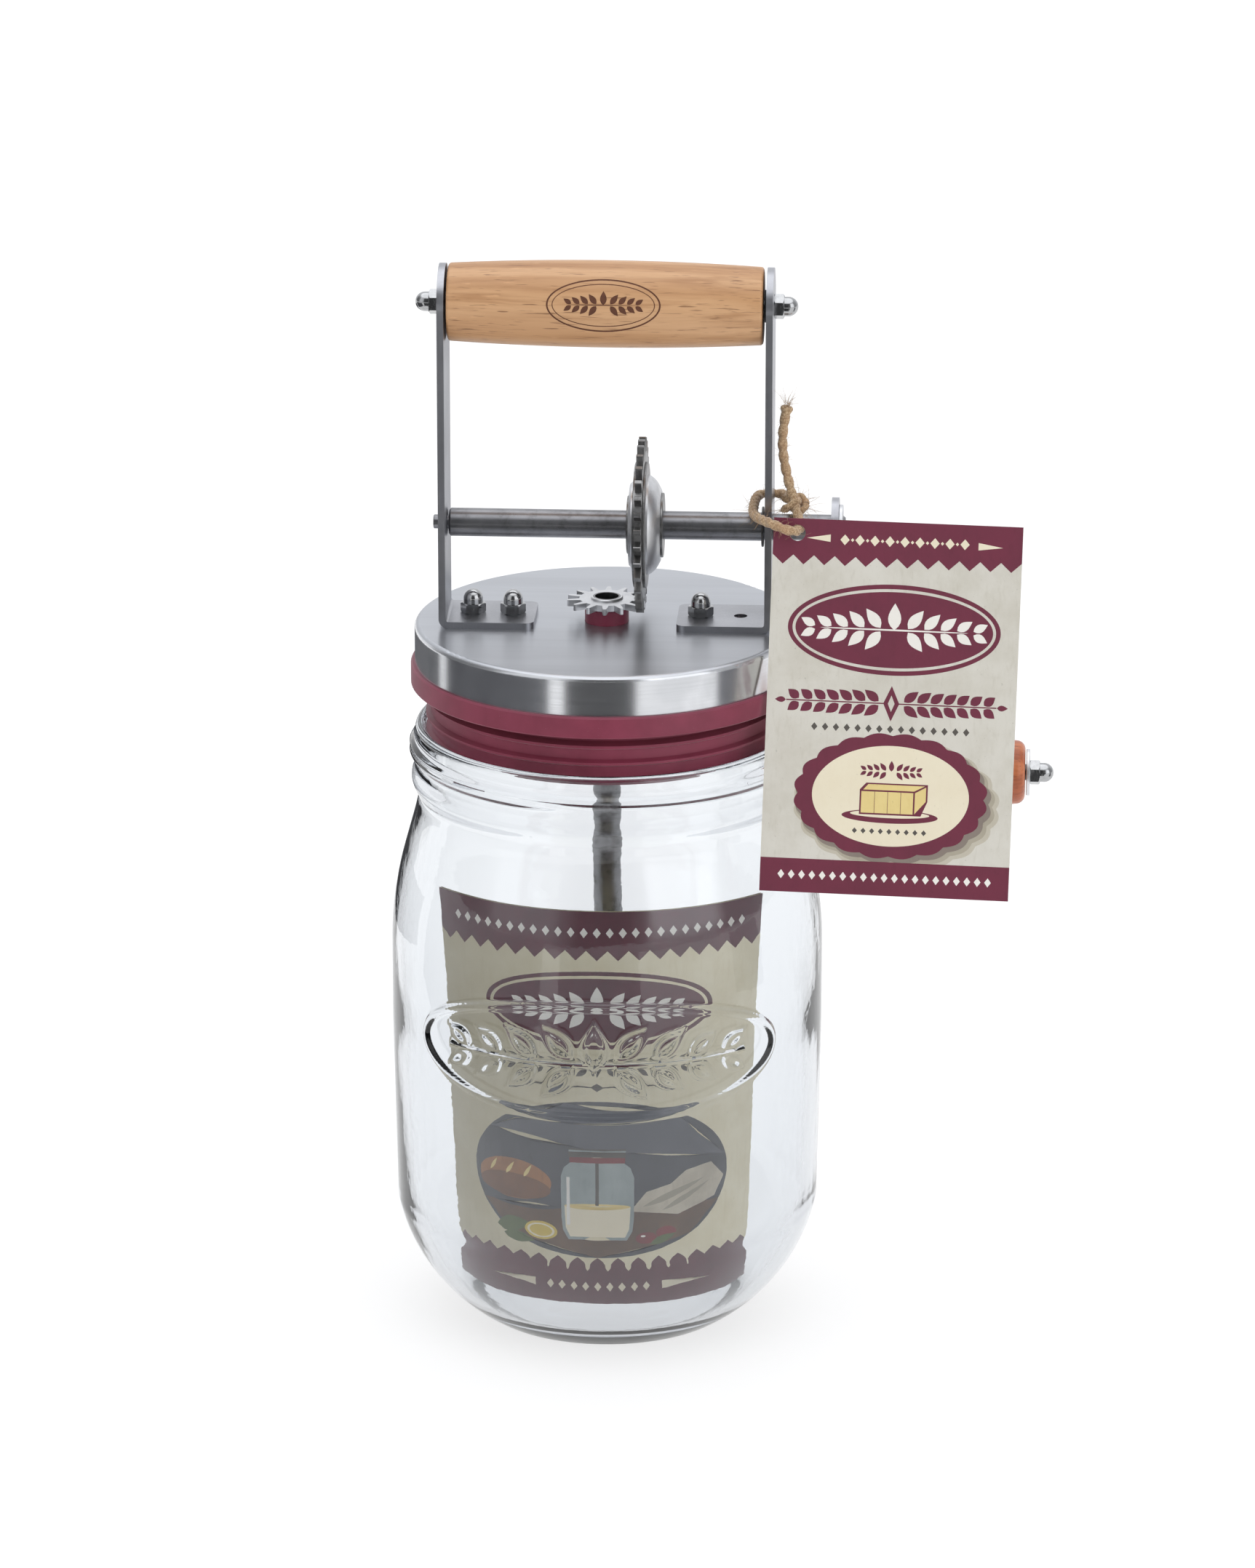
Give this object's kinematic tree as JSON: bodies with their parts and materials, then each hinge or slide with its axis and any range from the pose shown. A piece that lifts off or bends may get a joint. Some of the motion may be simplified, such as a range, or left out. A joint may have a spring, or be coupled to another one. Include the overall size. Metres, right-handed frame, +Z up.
{
  "type": "hand-cranked butter churn",
  "caption": "Glass jar with a push-fit steel lid that carries a hand crank, a gear pair, a carrying handle and a paddle inside the jar.",
  "frame": {"origin": "centre of the flat ring that the jar stands on", "axes": "+Z up along the jar's axis, +X towards the crank, -Y towards the front with the booklet"},
  "size_m": [0.1653, 0.108, 0.2727],
  "materials": {
    "clear_glass": "clear soda-lime glass with a faint blue-green tint",
    "printed_paper": "matt printed paper: cream field, burgundy bands",
    "printed_card": "matt printed card: cream field, burgundy bands",
    "jute_twine": "two-ply jute, hairy",
    "brushed_lid": "satin stainless, brushed",
    "burgundy_silicone": "matt silicone",
    "strap_steel": "plain rolled stainless strip",
    "bright_fastener": "bright plated",
    "pale_wood": "oiled beech, fine straight grain",
    "shaft_steel": "drawn bar, slightly dark",
    "black_rubber": "matt",
    "gear_steel": "stamped plate, slightly oily",
    "pressed_steel": "pressed, satin",
    "dark_clip": "blackened spring steel",
    "amber_wood": "stained beech, satin lacquer",
    "burgundy_plastic": "moulded, satin"
  },
  "bodies": {
    "jar": {"glass_jar": "clear_glass", "instruction_booklet": "printed_paper"},
    "lid": {"hang_tag": "printed_card", "tag_twine": "jute_twine", "twine_knot": "jute_twine", "lid_cap": "brushed_lid", "silicone_seal": "burgundy_silicone", "shaft_bush": "burgundy_silicone", "left_strap": "strap_steel", "right_strap": "strap_steel", "lid_screws": "bright_fastener", "lid_dome_nuts": "bright_fastener", "handle_grip": "pale_wood", "handle_rod": "shaft_steel", "handle_washer": "black_rubber", "handle_dome_nuts": "bright_fastener"},
    "crank": {"drive_shaft": "shaft_steel", "drive_gear": "gear_steel", "gear_plate_left": "gear_steel", "gear_plate_right": "gear_steel", "gear_dish_left": "pressed_steel", "gear_dish_right": "pressed_steel", "hub_washer_left": "gear_steel", "hub_washer_right": "gear_steel", "shaft_retainer": "dark_clip", "crank_arm": "strap_steel", "arm_washer": "pressed_steel", "grip_spindle": "shaft_steel", "grip_washer": "pressed_steel", "grip_dome_nut": "bright_fastener"},
    "grip": {"crank_grip": "amber_wood"},
    "beater": {"pinion": "pressed_steel", "beater_shaft": "shaft_steel", "stop_collar": "shaft_steel", "paddle": "burgundy_plastic", "paddle_pin": "shaft_steel"}
  },
  "joints": [
    {"name": "lid_lift", "type": "slide", "parent": "jar", "child": "lid", "axis": [0, 0, 1], "range_m": [-0.0097, 0.16]},
    {"name": "crank_spin", "type": "hinge", "parent": "lid", "child": "crank", "pos_m": [0, 0, 0.2058], "axis": [1, 0, 0], "continuous": true, "deforming": ["hang_tag", "tag_twine"]},
    {"name": "grip_spin", "type": "hinge", "parent": "crank", "child": "grip", "pos_m": [0.08, 0, 0.1433], "axis": [1, 0, 0], "continuous": true},
    {"name": "beater_spin", "type": "hinge", "parent": "lid", "child": "beater", "pos_m": [0, 0, 0.1], "axis": [0, 0, 1], "continuous": true}
  ],
  "couplings": [
    {"joint": "beater_spin", "follows": "crank_spin", "ratio": 2.2857}
  ]
}
